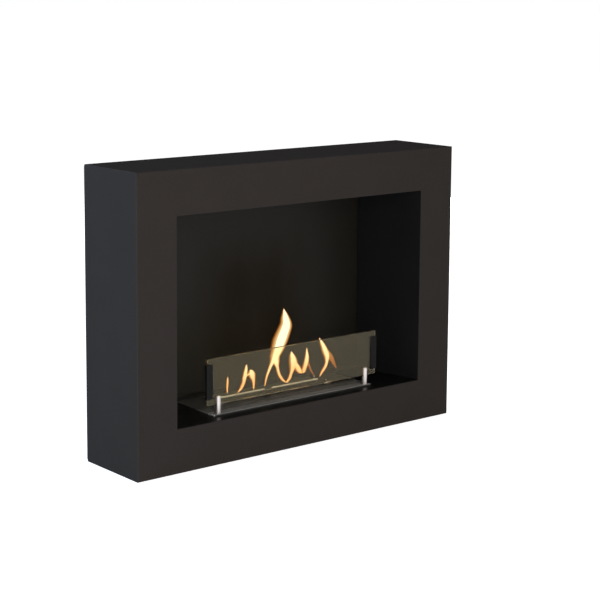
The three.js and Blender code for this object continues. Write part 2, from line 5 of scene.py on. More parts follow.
import bmesh
import bpy
from bpy.props import FloatProperty, FloatVectorProperty, IntProperty, PointerProperty
from mathutils import Matrix, Vector


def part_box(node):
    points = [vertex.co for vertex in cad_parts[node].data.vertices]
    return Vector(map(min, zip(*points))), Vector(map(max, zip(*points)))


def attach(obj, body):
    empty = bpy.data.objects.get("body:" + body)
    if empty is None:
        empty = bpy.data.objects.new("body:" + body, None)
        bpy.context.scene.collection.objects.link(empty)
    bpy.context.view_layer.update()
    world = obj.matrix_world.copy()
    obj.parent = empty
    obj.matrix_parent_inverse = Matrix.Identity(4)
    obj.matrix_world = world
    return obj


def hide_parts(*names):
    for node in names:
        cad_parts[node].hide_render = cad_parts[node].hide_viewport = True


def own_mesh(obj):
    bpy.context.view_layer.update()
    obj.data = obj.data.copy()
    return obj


bl_info = {
    "name": "Bioethanol Fireplace",
    "version": (1, 0, 0),
    "blender": (4, 5, 0),
    "location": "View3D > Sidebar > Fireplace",
    "description": "Dresses the fireplace's sheet metal, burner and glass, and lights its flames",
    "category": "Object",
}

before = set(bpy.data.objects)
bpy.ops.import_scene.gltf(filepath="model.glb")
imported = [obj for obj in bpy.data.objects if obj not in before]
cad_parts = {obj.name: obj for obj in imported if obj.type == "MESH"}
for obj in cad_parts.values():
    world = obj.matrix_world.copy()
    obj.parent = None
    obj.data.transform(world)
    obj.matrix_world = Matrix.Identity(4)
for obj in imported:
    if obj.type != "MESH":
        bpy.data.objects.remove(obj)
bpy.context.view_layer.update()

MM = 0.001
SAME_PLACE = 0.0001 * MM

# Places in the frame --------------------------------------------------------------------------

casing_low, casing_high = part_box("outer_casing")
plate_low, plate_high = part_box("burner_plate")
stone_low, stone_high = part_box("ceramic_stone_1")
glass_low, glass_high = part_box("glass_pane")

plate_top = plate_high.z
lid_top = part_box("snuffer_lid")[1].z
flame_foot = plate_top - 1.5 * MM
slot_y = (stone_low.y + stone_high.y) / 2


def linear(red, green, blue):
    """A colour of 0 to 255 a channel, as it reads on a screen, in linear light."""
    def channel(value):
        share = value / 255
        return share / 12.92 if share <= 0.04045 else ((share + 0.055) / 1.055) ** 2.4
    return tuple(channel(value) for value in (red, green, blue))


# Settings -------------------------------------------------------------------------------------

class SheetSettings(bpy.types.PropertyGroup):
    """The painted sheets: the casing, the rear panel and the firebox."""

    casing: FloatVectorProperty(
        name="Casing", description="Colour of the powder coat", subtype="COLOR",
        default=linear(48, 44, 42), min=0, max=1)
    rear: FloatVectorProperty(
        name="Rear panel", description="Colour of the rear panel's coat", subtype="COLOR",
        default=linear(38, 36, 35), min=0, max=1)
    firebox: FloatVectorProperty(
        name="Firebox", description="Colour of the heat-resistant paint", subtype="COLOR",
        default=linear(20, 18, 14), min=0, max=1)
    # Painted shade: the side walls and the ceiling get a darker, bluer copy of the firebox paint, for
    # the shade they stand in.
    firebox_sides_shaded: FloatVectorProperty(
        name="Firebox sides", description="Colour of the side walls and the ceiling", subtype="COLOR",
        default=linear(17, 17, 18), min=0, max=1)
    firebox_floor: FloatVectorProperty(
        name="Firebox floor", description="Colour of the glossier floor", subtype="COLOR",
        default=linear(9, 9, 8), min=0, max=1)
    peel: FloatProperty(
        name="Coat texture", description="Size of the coat's fine grain", unit="LENGTH",
        subtype="DISTANCE", default=1.1 * MM, min=0.0001)
    # Width of the paler line along the folds, which is partly rub and partly a painted highlight.
    fold_line_width: FloatProperty(
        name="Edge rub", description="Width of the paler line along the casing's folds",
        unit="LENGTH", subtype="DISTANCE", default=1.6 * MM, min=0.0001)


class SteelSettings(bpy.types.PropertyGroup):
    """The bare steel of the burner, the posts and the fasteners."""

    burner: FloatVectorProperty(
        name="Burner", description="Colour of the satin steel", subtype="COLOR",
        default=linear(182, 181, 178), min=0, max=1)
    polished: FloatVectorProperty(
        name="Posts", description="Colour of the polished steel", subtype="COLOR",
        default=linear(222, 212, 206), min=0, max=1)
    zinc: FloatVectorProperty(
        name="Fasteners", description="Colour of the zinc plating", subtype="COLOR",
        default=linear(168, 170, 172), min=0, max=1)
    brushing: FloatProperty(
        name="Brushing", description="Width of a brushed line", unit="LENGTH",
        subtype="DISTANCE", default=0.35 * MM, min=0.0001)


class GlassSettings(bpy.types.PropertyGroup):
    """The smoked pane and its ribbed edge guards."""

    tint: FloatVectorProperty(
        name="Tint", description="What one passage through the glass leaves of white",
        subtype="COLOR", default=(0.96, 0.88, 0.60), min=0, max=1)
    sheen: FloatVectorProperty(
        name="Sheen", description="Colour of what the glass mirrors", subtype="COLOR",
        default=(0.73, 0.63, 0.44), min=0, max=1)
    guard: FloatVectorProperty(
        name="Guard", description="Colour of the edge guards", subtype="COLOR",
        default=linear(19, 18, 17), min=0, max=1)
    ribs: IntProperty(
        name="Ribs", description="Grooves on each face of a guard", default=7, min=1)
    groove: FloatProperty(
        name="Groove", description="Depth of a guard's grooves", unit="LENGTH",
        subtype="DISTANCE", default=0.35 * MM, min=0)


class FastenerSettings(bpy.types.PropertyGroup):
    """The screws, nuts and rivets."""

    segments: IntProperty(
        name="Segments", description="Steps round a fastener", default=32, min=12)
    pitch: FloatProperty(
        name="Thread pitch", description="Distance from one thread to the next", unit="LENGTH",
        subtype="DISTANCE", default=0.7 * MM, min=0.0002)
    thread: FloatProperty(
        name="Thread depth", description="Depth of a thread", unit="LENGTH",
        subtype="DISTANCE", default=0.3 * MM, min=0)
    socket: FloatProperty(
        name="Socket", description="Distance from the middle to a corner of the key socket",
        unit="LENGTH", subtype="DISTANCE", default=1.45 * MM, min=0.0005)
    socket_depth: FloatProperty(
        name="Socket depth", description="Depth of the key socket", unit="LENGTH",
        subtype="DISTANCE", default=1.3 * MM, min=0.0002)


class FlameSettings(bpy.types.PropertyGroup):
    """The flames over the slot."""

    core: FloatVectorProperty(
        name="Core", description="Light of the flames' core", subtype="COLOR",
        default=linear(255, 249, 222), min=0, max=1)
    glow: FloatVectorProperty(
        name="Glow", description="Light round the core", subtype="COLOR",
        default=linear(255, 232, 172), min=0, max=1)
    body: FloatVectorProperty(
        name="Body", description="Light between the glow and the edge", subtype="COLOR",
        default=linear(246, 178, 96), min=0, max=1)
    veil: FloatVectorProperty(
        name="Edge", description="Light at the flames' edge", subtype="COLOR",
        default=linear(172, 96, 36), min=0, max=1)
    foot: FloatVectorProperty(
        name="Foot", description="What the flames' light is multiplied by near the slot",
        subtype="COLOR", default=(0.84, 0.58, 0.38), min=0, max=1)
    depth: FloatProperty(
        name="Depth", description="Thickness of a flame as a share of its width", default=0.55,
        min=0.1, max=2)
    fineness: FloatProperty(
        name="Fineness", description="Size of the mesh's cells", unit="LENGTH",
        subtype="DISTANCE", default=0.9 * MM, min=0.0003)


class StageSettings(bpy.types.PropertyGroup):
    """The camera, the lamps and the floor."""

    camera_place: FloatVectorProperty(
        name="Camera", description="Where the camera stands", subtype="TRANSLATION",
        unit="LENGTH", default=(-2.2614, -2.8017, 1.0333))
    azimuth: FloatProperty(
        name="Azimuth", description="Turn of the camera round the object", subtype="ANGLE",
        default=math.radians(-38.628))
    elevation: FloatProperty(
        name="Elevation", description="How far the camera looks down", subtype="ANGLE",
        default=math.radians(8.042))
    roll: FloatProperty(
        name="Roll", description="Tilt of the camera about its own line", subtype="ANGLE",
        default=math.radians(0.266))
    lens: FloatProperty(
        name="Lens", description="Focal length in millimetres", default=96.73, min=1)
    room_light: FloatProperty(
        name="Room light", description="Light that comes from all round", default=0.36, min=0)
    front_light: FloatProperty(
        name="Front light", description="Power of the lamp in front, in watts", default=150, min=0)
    side_light: FloatProperty(
        name="Side light", description="Power of the lamp at the left, in watts", default=124, min=0)
    back_light: FloatProperty(
        name="Back light", description="Power of the lamp behind, in watts", default=110, min=0)


SETTINGS = {
    "fireplace_sheets": SheetSettings,
    "fireplace_steel": SteelSettings,
    "fireplace_glass": GlassSettings,
    "fireplace_fasteners": FastenerSettings,
    "fireplace_flames": FlameSettings,
    "fireplace_stage": StageSettings,
}


# Shader building ------------------------------------------------------------------------------

class Wire:
    """A shader socket that takes Python's operators, each of which adds a Math node."""

    def __init__(self, finish, socket):
        self.finish = finish
        self.socket = socket

    def maths(self, operation, first, second):
        return self.finish.node("ShaderNodeMath", {"operation": operation}, [first, second])

    def __add__(self, other):
        return self.maths("ADD", self, other)

    def __radd__(self, other):
        return self.maths("ADD", other, self)

    def __sub__(self, other):
        return self.maths("SUBTRACT", self, other)

    def __rsub__(self, other):
        return self.maths("SUBTRACT", other, self)

    def __mul__(self, other):
        return self.maths("MULTIPLY", self, other)

    def __rmul__(self, other):
        return self.maths("MULTIPLY", other, self)

    def __abs__(self):
        return self.finish.node("ShaderNodeMath", {"operation": "ABSOLUTE"}, [self])


class Finish:
    """The nodes of a material or of the room, with the one method that adds a node."""

    def __init__(self, owner):
        self.owner = owner
        owner.use_nodes = True
        self.tree = owner.node_tree
        self.tree.nodes.clear()
        self.place = self.node("ShaderNodeTexCoord", output="Object")
        self.x, self.y, self.z = (
            self.node("ShaderNodeSeparateXYZ", inputs=[self.place], output=axis) for axis in range(3))

    def node(self, kind, settings=None, inputs=None, output=0):
        """Adds a node: its settings first, then the values or links of its sockets."""
        made = self.tree.nodes.new(kind)
        for name, value in (settings or {}).items():
            setattr(made, name, value)
        pairs = enumerate(inputs) if isinstance(inputs, list) else (inputs or {}).items()
        for key, value in pairs:
            if isinstance(value, Wire):
                self.tree.links.new(value.socket, made.inputs[key])
            else:
                made.inputs[key].default_value = value
        return Wire(self, made.outputs[output]) if made.outputs else None

    def noise(self, size, stretch=(1, 1, 1), detail=3.0):
        """Cloudy noise of 0 to 1, whose marks have about this size, drawn out by stretch."""
        spread = [1 / (size * share) for share in stretch]
        place = self.node("ShaderNodeMapping", inputs={"Vector": self.place, "Scale": spread})
        return self.node("ShaderNodeTexNoise", inputs={"Vector": place, "Scale": 1.0, "Detail": detail})

    def step(self, value, low, high):
        """Climbs smoothly from 0 at low to 1 at high."""
        return self.node(
            "ShaderNodeMapRange", {"interpolation_type": "SMOOTHSTEP"},
            {"Value": value, "From Min": low, "From Max": high})

    def least(self, first, second):
        return self.node("ShaderNodeMath", {"operation": "MINIMUM"}, [first, second])

    def most(self, first, second):
        return self.node("ShaderNodeMath", {"operation": "MAXIMUM"}, [first, second])

    def mix(self, share, first, second):
        """One colour into another, each a colour or a wire."""
        return self.node(
            "ShaderNodeMix", {"data_type": "RGBA"},
            {0: share, 6: opaque(first), 7: opaque(second)}, output=2)

    def bump(self, height, depth, strength=1.0):
        """A normal from a height of 0 to 1 that stands for this depth in metres."""
        return self.node(
            "ShaderNodeBump", inputs={"Strength": strength, "Distance": depth, "Height": height})

    def seen(self):
        """1 for what the camera sees straight on, in gloss or through glass, and else 0."""
        straight, gloss, through = (
            self.node("ShaderNodeLightPath", output=f"Is {kind} Ray")
            for kind in ("Camera", "Glossy", "Transmission"))
        return self.most(self.most(straight, gloss), through)

    def surface(self, **sockets):
        """Closes the material with a Principled surface. Underscores stand for spaces."""
        named = {name.replace("_", " "): opaque(value) for name, value in sockets.items()}
        shader = self.node("ShaderNodeBsdfPrincipled", inputs=named)
        self.node("ShaderNodeOutputMaterial", inputs={"Surface": shader})
        return self.owner


def opaque(value):
    """A colour of three channels gets its fourth, and anything else stays as it is."""
    if isinstance(value, Wire) or isinstance(value, (int, float)):
        return value
    return (*value, 1.0) if len(value) == 3 else value


def new_finish(name):
    return Finish(bpy.data.materials.new(name))


def shade(colour, share):
    """A colour made darker or lighter by a share."""
    return tuple(min(1.0, channel * share) for channel in colour)


# Mesh building --------------------------------------------------------------------------------

def finished(name, mesh_builder, material, body, stands_for=None):
    """Makes a piece at the origin from a bmesh, and puts it on its body."""
    mesh = bpy.data.meshes.new(name)
    mesh_builder.to_mesh(mesh)
    mesh_builder.free()
    piece = bpy.data.objects.new(name, mesh)
    bpy.context.scene.collection.objects.link(piece)
    mesh.materials.append(material)
    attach(piece, body)
    if stands_for:
        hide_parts(stands_for)
    return piece


def dress(nodes, material):
    """Gives CAD nodes a material."""
    for name in nodes:
        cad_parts[name].data.materials.clear()
        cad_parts[name].data.materials.append(material)


def nodes_named(start):
    return sorted(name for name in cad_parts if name.startswith(start))


def revolve(builder, profile, segments):
    """Turns a profile of radius and height about the Z axis, and leaves its open ends open."""
    points = [builder.verts.new((radius, 0, height)) for radius, height in profile]
    edges = [builder.edges.new(pair) for pair in zip(points, points[1:])]
    bmesh.ops.spin(
        builder, geom=points + edges, cent=(0, 0, 0), axis=(0, 0, 1), dvec=(0, 0, 0),
        angle=2 * math.pi, steps=segments, use_merge=True, use_duplicate=False)
    bmesh.ops.remove_doubles(builder, verts=builder.verts, dist=SAME_PLACE)


def ring(builder, radius, height, segments):
    """Adds a loop of edges round the Z axis and returns its edges."""
    made = bmesh.ops.create_circle(
        builder, cap_ends=False, radius=radius, segments=segments,
        matrix=Matrix.Translation((0, 0, height)))
    return edges_of(made["verts"])


def edges_of(verts):
    return list({edge for vert in verts for edge in vert.link_edges})


def open_edges(builder, height):
    """The open loop of edges at this height."""
    return [
        edge for edge in builder.edges
        if edge.is_boundary and all(abs(vert.co.z - height) < SAME_PLACE for vert in edge.verts)
    ]


def extruded(builder, edges, move, scale=1.0):
    """Draws a loop of edges out by a move, scales it about the Z axis, and returns the new loop."""
    made = bmesh.ops.extrude_edge_only(builder, edges=edges)["geom"]
    verts = [item for item in made if isinstance(item, bmesh.types.BMVert)]
    bmesh.ops.scale(builder, vec=(scale, scale, 1.0), verts=verts)
    bmesh.ops.translate(builder, vec=move, verts=verts)
    return [item for item in made if isinstance(item, bmesh.types.BMEdge)]


def threaded(radius, low, high, pitch, depth):
    """The profile of a threaded shank, as rings, from low to high."""
    turns = max(1, int((high - low) / pitch))
    step = (high - low) / turns
    points = []
    for turn in range(turns):
        points.append((radius - depth, low + step * turn))
        points.append((radius, low + step * (turn + 0.5)))
    points.append((radius - depth, high))
    return points


# How much wider the open ring round a key socket is than the socket.
SOCKET_RIM = 1.25


def key_socket(builder, settings, height):
    """Closes the open ring on top of a head with a hexagonal socket."""
    top = open_edges(builder, height)
    corners = ring(builder, settings.socket, height, 6)
    bmesh.ops.bridge_loops(builder, edges=top + corners)
    bottom = extruded(builder, corners, (0, 0, -settings.socket_depth))
    bmesh.ops.contextual_create(builder, geom=bottom)


def facing(direction):
    """The turn that takes +Z to a direction along an axis."""
    return Vector((0, 0, 1)).rotation_difference(Vector(direction)).to_matrix().to_4x4()


# Finishes -------------------------------------------------------------------------------------

def powder_coat(name, colour, settings, folds=False):
    """A fine matt coat, with paler lines along the casing's folds: partly rub, partly a painted
    highlight.
    """
    cloud_size = 90 * MM
    speck_size = 2.6 * MM
    speck_levels = (0.62, 0.75)
    grain_depth = 0.06 * MM
    finish = new_finish(name)
    grain = finish.noise(settings.peel)
    cloud = finish.noise(cloud_size, detail=2.0)
    specks = finish.step(finish.noise(speck_size, detail=1.0), *speck_levels)
    tone = finish.mix(cloud, shade(colour, 0.93), shade(colour, 1.07))
    tone = finish.mix(specks * 0.25, tone, shade(colour, 1.6))
    if folds:
        # Paler lines along the folds: partly rub, partly a painted highlight.
        tone = finish.mix(fold_rub_and_sheen(finish, settings.fold_line_width) * 0.35, tone, shade(colour, 2.6))
    rough = 0.84 + grain * 0.1 + cloud * 0.05
    normal = finish.bump(grain, grain_depth, 0.4)
    return finish.surface(
        Base_Color=tone, Roughness=rough, Normal=normal, Specular_IOR_Level=0.001)


def fold_rub_and_sheen(finish, width):
    """1 in places along the casing's folds, and 0 further than this width from one: where the rub and
    the painted highlight go.
    """
    blotch_size = 14 * MM
    blotch_levels = (0.35, 0.75)
    side = casing_high.x - abs(finish.x)
    level = finish.least(finish.z, casing_high.z - finish.z)
    front = finish.y - casing_low.y
    nearest = finish.least(finish.least(side, level), front)
    farthest = finish.most(finish.most(side, level), front)
    second = side + level + front - nearest - farthest
    rub_and_sheen = 1 - finish.step(second, width * 0.3, width)
    return rub_and_sheen * finish.step(finish.noise(blotch_size), *blotch_levels)


def heat_paint(name, colour, gloss):
    """Satin black that turns a warmer, darker brown and rougher above the middle of the burner."""
    grain_size = 0.9 * MM
    grain_depth = 0.03 * MM
    cloud_size = 70 * MM
    cloud_levels = (0.3, 0.6)
    streak_size = 6 * MM
    streak_levels = (0.55, 0.8)
    patch_colour = linear(20, 15, 8)
    patch_sides = (60 * MM, 230 * MM)
    patch_start = (10 * MM, 110 * MM)
    patch_end = (220 * MM, 440 * MM)
    finish = new_finish(name)
    grain = finish.noise(grain_size)
    cloud = finish.noise(cloud_size, stretch=(1, 1, 2.4))
    streak = finish.noise(streak_size, stretch=(1, 1, 14), detail=2.0)
    above = finish.z - plate_top
    # A warmer, darker brown patch above the middle of the burner.
    brown_patch = 1 - finish.step(abs(finish.x), *patch_sides)
    brown_patch = brown_patch * finish.step(above, *patch_start) * (1 - finish.step(above, *patch_end))
    brown_patch = brown_patch * (0.8 + 0.2 * finish.step(cloud, *cloud_levels))
    tone = finish.mix(cloud, shade(colour, 0.9), shade(colour, 1.1))
    tone = finish.mix(brown_patch * 0.85, tone, patch_colour)
    rough = (0.42 - 0.14 * gloss) + cloud * 0.1 + brown_patch * 0.36
    rough = rough + finish.step(streak, *streak_levels) * 0.05
    normal = finish.bump(grain, grain_depth, 0.3 - 0.2 * gloss)
    return finish.surface(
        Base_Color=tone, Roughness=rough, Normal=normal,
        Specular_IOR_Level=0.155 + 0.065 * gloss)


def brushed(name, colour, settings):
    """Steel brushed along the slot, tinted by heat near it, with a band along the plate's front made
    less metallic as painted light, and its front face coloured dark as painted shade.
    """
    smear_size = 26 * MM
    smear_sway = 8 * MM
    line_depth = 0.01 * MM
    hot_half_length = 150 * MM
    hot_half_width = 10 * MM
    straw_reach = 26 * MM
    blue_reach = 9 * MM
    straw = linear(176, 160, 138)
    blue = linear(120, 112, 124)
    lit_band_depth = (20 * MM, 34 * MM)
    lit_fade_depth = (34 * MM, 72 * MM)
    painted_shade_depth = (0.1 * MM, 0.7 * MM)
    finish = new_finish(name)
    lines = finish.noise(settings.brushing, stretch=(90, 1, 1), detail=4.0)
    smear = finish.noise(smear_size, stretch=(3, 1, 1))
    away = finish.most(
        abs(finish.x) - hot_half_length, abs(finish.y - slot_y) - hot_half_width)
    near = 1 - finish.step(away, 0.0, straw_reach)
    hot = 1 - finish.step(away, 0.0, blue_reach)
    front = finish.y - plate_low.y
    # Painted light: the steel is less metallic in a band along the plate's front, so it reads lighter
    # and stands in for the lamp light there.
    lit_band = 1 - finish.step(front + (smear - 0.5) * smear_sway, *lit_band_depth)
    lit_fade = 1 - finish.step(front, *lit_fade_depth)
    painted_light_share = finish.most(lit_band * (0.44 + lines * 0.04), lit_fade * 0.24)
    # Painted shade: the plate's front face is coloured dark, standing in for the shadow gap under the
    # plate.
    edge = 1 - finish.step(front, *painted_shade_depth)
    tone = finish.mix(lines, shade(colour, 0.93), colour)
    tone = finish.mix(near * 0.2, tone, straw)
    tone = finish.mix(hot * smear * 0.6, tone, blue)
    # The painted shade on the plate's front face.
    tone = finish.mix(edge, tone, linear(60, 59, 57))
    rough = 0.24 + smear * 0.03 + lines * 0.02
    normal = finish.bump(lines, line_depth, 0.08)
    return finish.surface(
        Base_Color=tone, Metallic=0.97 - painted_light_share, Roughness=rough, Normal=normal)


def lid_with_painted_highlight(name, colour, settings):
    """The snuffer lid's satin steel, with a painted highlight: a near-white, less metallic band along
    its top edge.
    """
    smear_size = 18 * MM
    line_depth = 0.02 * MM
    highlight_start = lid_top - 3.6 * MM
    highlight_full = lid_top - 2.6 * MM
    finish = new_finish(name)
    lines = finish.noise(settings.brushing, stretch=(60, 1, 1), detail=3.0)
    smear = finish.noise(smear_size, stretch=(3, 1, 1))
    # Painted highlight along the lid's top edge.
    highlight_band = finish.step(finish.z, highlight_start, highlight_full)
    tone = finish.mix(lines, shade(colour, 0.94), shade(colour, 1.04))
    tone = finish.mix(highlight_band * 0.8, tone, linear(232, 228, 232))
    metal = 0.96 - highlight_band * (0.66 + smear * 0.2)
    rough = 0.3 + highlight_band * 0.15 + lines * 0.05
    normal = finish.bump(lines, line_depth, 0.15)
    return finish.surface(Base_Color=tone, Metallic=metal, Roughness=rough, Normal=normal)


def polished(name, colour):
    """Turned steel with the finest rings left by the tool."""
    ring_size = 0.25 * MM
    ring_depth = 0.01 * MM
    smear_size = 4 * MM
    finish = new_finish(name)
    rings = finish.noise(ring_size, stretch=(60, 60, 1), detail=2.0)
    smear = finish.noise(smear_size)
    tone = finish.mix(rings * smear, colour, shade(colour, 0.82))
    rough = 0.3 + smear * 0.08 + rings * 0.05
    normal = finish.bump(rings, ring_depth, 0.2)
    return finish.surface(Base_Color=tone, Metallic=1.0, Roughness=rough, Normal=normal)


def plated(name, colour):
    """Zinc plating, cloudy and a little yellowed."""
    cloud_size = 1.6 * MM
    cloud_depth = 0.02 * MM
    blotch_size = 6 * MM
    blotch_levels = (0.5, 0.7)
    yellow = linear(176, 160, 120)
    finish = new_finish(name)
    cloud = finish.noise(cloud_size)
    blotch = finish.step(finish.noise(blotch_size), *blotch_levels)
    tone = finish.mix(cloud, shade(colour, 0.8), colour)
    tone = finish.mix(blotch * 0.3, tone, yellow)
    rough = 0.3 + cloud * 0.2
    normal = finish.bump(cloud, cloud_depth, 0.4)
    return finish.surface(Base_Color=tone, Metallic=1.0, Roughness=rough, Normal=normal)


def smoked_glass(name, tint, sheen):
    """Bronze tempered glass with the faintest wiping marks and ground edges."""
    wipe_size = 30 * MM
    wipe_levels = (0.45, 0.75)
    edge_depth = (0.1 * MM, 0.5 * MM)
    half = (glass_high.y - glass_low.y) / 2
    finish = new_finish(name)
    wipe = finish.step(finish.noise(wipe_size, stretch=(3, 1, 1)), *wipe_levels)
    inside = half - abs(finish.y - (glass_low.y + half))
    edge = finish.step(inside, *edge_depth)
    tone = finish.mix(wipe, tint, shade(tint, 0.93))
    tone = finish.mix(edge, tone, shade(tint, 0.28))
    return finish.surface(
        Base_Color=tone, Roughness=edge * 0.5, Transmission_Weight=1.0, IOR=1.4,
        Specular_Tint=tuple(sheen))


def moulded(name, colour):
    """The matt skin of the edge guards and the pads."""
    grain_size = 0.5 * MM
    grain_depth = 0.05 * MM
    dust_size = 7 * MM
    dust_levels = (0.5, 0.8)
    finish = new_finish(name)
    grain = finish.noise(grain_size)
    dust = finish.step(finish.noise(dust_size), *dust_levels)
    tone = finish.mix(grain, shade(colour, 0.85), shade(colour, 1.15))
    tone = finish.mix(dust * 0.2, tone, shade(colour, 2.0))
    rough = 0.5 + grain * 0.15 + dust * 0.1
    normal = finish.bump(grain, grain_depth, 0.5)
    return finish.surface(
        Base_Color=tone, Roughness=rough, Normal=normal, Specular_IOR_Level=0.14)


def ceramic(name):
    """Porous stone, pale where it is clean and sooty under the slot."""
    pores_in_a_metre = 700.0
    pore_levels = (0.15, 0.5)
    pore_depth = 0.3 * MM
    cloud_size = 9 * MM
    patch_sides = (4 * MM, 15 * MM)
    soot_depth = 14 * MM
    finish = new_finish(name)
    pores = finish.node(
        "ShaderNodeTexVoronoi", {"feature": "F1"},
        {"Vector": finish.place, "Scale": pores_in_a_metre})
    cloud = finish.noise(cloud_size)
    hollow = 1 - finish.step(pores, *pore_levels)
    brown_patch = 1 - finish.step(abs(finish.y - slot_y), *patch_sides)
    brown_patch = brown_patch * finish.step(finish.z, stone_high.z - soot_depth, stone_high.z)
    tone = finish.mix(cloud, linear(196, 186, 164), linear(222, 214, 196))
    # Painted shade: the pores are coloured darker for the shade in their hollows.
    tone = finish.mix(hollow * 0.6, tone, linear(120, 108, 90))
    tone = finish.mix(brown_patch * 0.75, tone, linear(44, 38, 33))
    normal = finish.bump(1 - hollow, pore_depth, 0.8)
    return finish.surface(Base_Color=tone, Roughness=0.92, Normal=normal)


def firelight(name, light, foot, strength, low_share, top_share):
    """Glowing gas: clear and amber at the slot, and denser and paler with height."""
    start_heights = (7 * MM, 26 * MM)
    dense_heights = (16 * MM, 80 * MM)
    pale_heights = (22 * MM, 82 * MM)
    flicker_size = 20 * MM
    flicker_sway = 56 * MM
    finish = new_finish(name)
    height = finish.z - flame_foot
    risen = finish.step(height, *start_heights)
    flicker = finish.noise(flicker_size, stretch=(0.6, 1, 2.0), detail=2.0)
    low_light = tuple(channel * share for channel, share in zip(light, foot))
    climb = height + (flicker - 0.5) * flicker_sway
    glow = finish.mix(finish.step(climb, *pale_heights), low_light, light)
    dense = low_share + (top_share - low_share) * finish.step(height, *dense_heights)
    return finish.surface(
        Base_Color=(0.0, 0.0, 0.0), Roughness=1.0, Specular_IOR_Level=0.0,
        Emission_Color=glow, Emission_Strength=strength, Alpha=risen * dense)


# Operators ------------------------------------------------------------------------------------

# The camera's shift, as shares of the picture's width, its sensor in millimetres and how far it
# sees in metres. A lamp has its place, its width in metres and its colour.
CAMERA_SHIFT = (0.05, -0.15)
SENSOR_WIDTH = 36.0
CLIP_END = 200.0
DAYLIGHT = (1.0, 0.98, 0.97)
SKYLIGHT = (0.46, 0.72, 1.0)
LAMPS = {
    "front": ((-1.8, -3.8, 1.1), 2.6, DAYLIGHT),
    "side": ((-3.4, 0.9, 1.9), 2.2, SKYLIGHT),
    "back": ((3.2, 2.8, 0.5), 1.8, DAYLIGHT),
}

# The floor's size, how far it lies under the casing, and the light that makes it white.
FLOOR_RADIUS = 60.0
FLOOR_DROP = 0.5 * MM
FLOOR_GLOW = 0.74


class FIREPLACE_OT_stage(bpy.types.Operator):
    """Sets up the camera, the lamps and the pale floor"""

    bl_idname = "fireplace.stage"
    bl_label = "Stage"

    def execute(self, context):
        settings = context.scene.fireplace_stage
        self.add_camera(context, settings)
        self.add_room(context, settings)
        self.add_floor(context)
        for name, (place, width, colour) in LAMPS.items():
            power = getattr(settings, f"{name}_light")
            self.add_lamp(context, f"{name}_lamp", place, width, colour, power)
        context.scene.view_settings.view_transform = "Standard"
        return {"FINISHED"}

    def add_camera(self, context, settings):
        camera = bpy.data.cameras.new("camera")
        camera.lens = settings.lens
        camera.sensor_width = SENSOR_WIDTH
        camera.shift_x, camera.shift_y = CAMERA_SHIFT
        camera.clip_end = CLIP_END
        holder = bpy.data.objects.new("camera", camera)
        context.scene.collection.objects.link(holder)
        look = Matrix.Rotation(settings.azimuth, 4, "Z")
        look = look @ Matrix.Rotation(math.pi / 2 - settings.elevation, 4, "X")
        look = look @ Matrix.Rotation(settings.roll, 4, "Z")
        holder.matrix_world = Matrix.Translation(settings.camera_place) @ look
        context.scene.camera = holder

    def add_room(self, context, settings):
        context.scene.world = bpy.data.worlds.new("room")
        room = Finish(context.scene.world)
        dim = room.node("ShaderNodeBackground", inputs={
            "Color": opaque(DAYLIGHT), "Strength": settings.room_light})
        white = room.node("ShaderNodeBackground", inputs={
            "Color": (1.0, 1.0, 1.0, 1.0), "Strength": 1.0})
        both = room.node("ShaderNodeMixShader", inputs=[room.seen(), dim, white])
        room.node("ShaderNodeOutputWorld", inputs={"Surface": both})

    def add_floor(self, context):
        builder = bmesh.new()
        bmesh.ops.create_circle(
            builder, cap_ends=True, radius=FLOOR_RADIUS, segments=96,
            matrix=Matrix.Translation((0, 0, -FLOOR_DROP)))
        mesh = bpy.data.meshes.new("floor")
        builder.to_mesh(mesh)
        builder.free()
        floor = bpy.data.objects.new("floor", mesh)
        context.scene.collection.objects.link(floor)
        finish = new_finish("pale_floor")
        mesh.materials.append(finish.surface(
            Base_Color=(0.8, 0.8, 0.8), Roughness=0.9, Specular_IOR_Level=0.0,
            Emission_Color=(1.0, 1.0, 1.0), Emission_Strength=finish.seen() * FLOOR_GLOW))

    def add_lamp(self, context, name, place, width, colour, power):
        """Hangs a square lamp that faces the middle of the casing."""
        lamp = bpy.data.lights.new(name, "AREA")
        lamp.shape = "SQUARE"
        lamp.size = width
        lamp.energy = power
        lamp.color = colour
        holder = bpy.data.objects.new(name, lamp)
        context.scene.collection.objects.link(holder)
        middle = (casing_low + casing_high) / 2
        turn = (middle - Vector(place)).to_track_quat("-Z", "Y").to_matrix().to_4x4()
        holder.matrix_world = Matrix.Translation(place) @ turn
        holder.visible_glossy = False


class FIREPLACE_OT_sheets(bpy.types.Operator):
    """Coats the casing, the rear panel and the firebox"""

    bl_idname = "fireplace.sheets"
    bl_label = "Casing and firebox"

    def execute(self, context):
        settings = context.scene.fireplace_sheets
        dress(["outer_casing"], powder_coat("casing_coat", settings.casing, settings, folds=True))
        dress(["rear_panel"], powder_coat("rear_coat", settings.rear, settings))
        dress(["firebox_back"], heat_paint("firebox_back_paint", settings.firebox, 0.0))
        # Painted shade: the side walls and the ceiling take the darker copy of the firebox paint.
        sides = ["firebox_side_left", "firebox_side_right", "firebox_ceiling"]
        dress(sides, heat_paint("firebox_side_paint", settings.firebox_sides_shaded, 0.0))
        dress(["firebox_floor"], heat_paint("firebox_floor_paint", settings.firebox_floor, 1.0))
        return {"FINISHED"}


